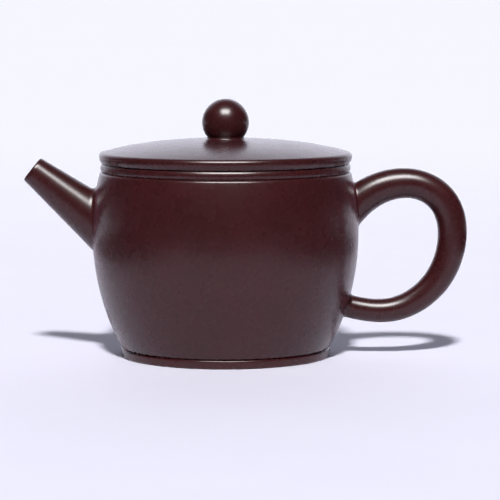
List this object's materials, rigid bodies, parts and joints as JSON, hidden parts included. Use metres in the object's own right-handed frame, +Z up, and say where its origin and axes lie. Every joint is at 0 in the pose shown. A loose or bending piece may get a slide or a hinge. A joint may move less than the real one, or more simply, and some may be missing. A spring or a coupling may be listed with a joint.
{
  "type": "teapot",
  "caption": "Small round stoneware teapot with a straight spout, an ear-shaped handle and a loose domed lid with a ball knob, for brewing and pouring tea.",
  "frame": {"origin": "centre of the foot ring on the surface that the pot stands on, on the pot's axis", "axes": "+Z up along the pot's axis, +X towards the handle, spout towards -X"},
  "size_m": [0.1394, 0.0838, 0.081],
  "materials": {
    "clay": "unglazed, burnished purple-brown stoneware",
    "lid_clay": "unglazed, burnished purple-brown stoneware",
    "inner_clay": "unglazed purple-brown stoneware, not burnished"
  },
  "bodies": {
    "pot": {"body_wall": "clay", "base_disc": "inner_clay", "shoulder_disc": "inner_clay", "foot_ring": "clay", "mouth_ring": "clay", "spout": "clay", "spout_strainer": "inner_clay", "handle": "clay"},
    "lid_inner": {"lid_flange": "inner_clay"},
    "lid": {"lid_rim": "lid_clay", "lid_dome": "lid_clay", "knob_neck": "lid_clay", "knob": "lid_clay"}
  },
  "joints": [
    {"name": "lid_lift", "type": "slide", "parent": "pot", "child": "lid_inner", "axis": [0, 0, 1], "range_m": [0, 0.045]},
    {"name": "lid_turn", "type": "hinge", "parent": "lid_inner", "child": "lid", "pos_m": [0, 0, 0.061], "axis": [0, 0, 1], "continuous": true}
  ]
}
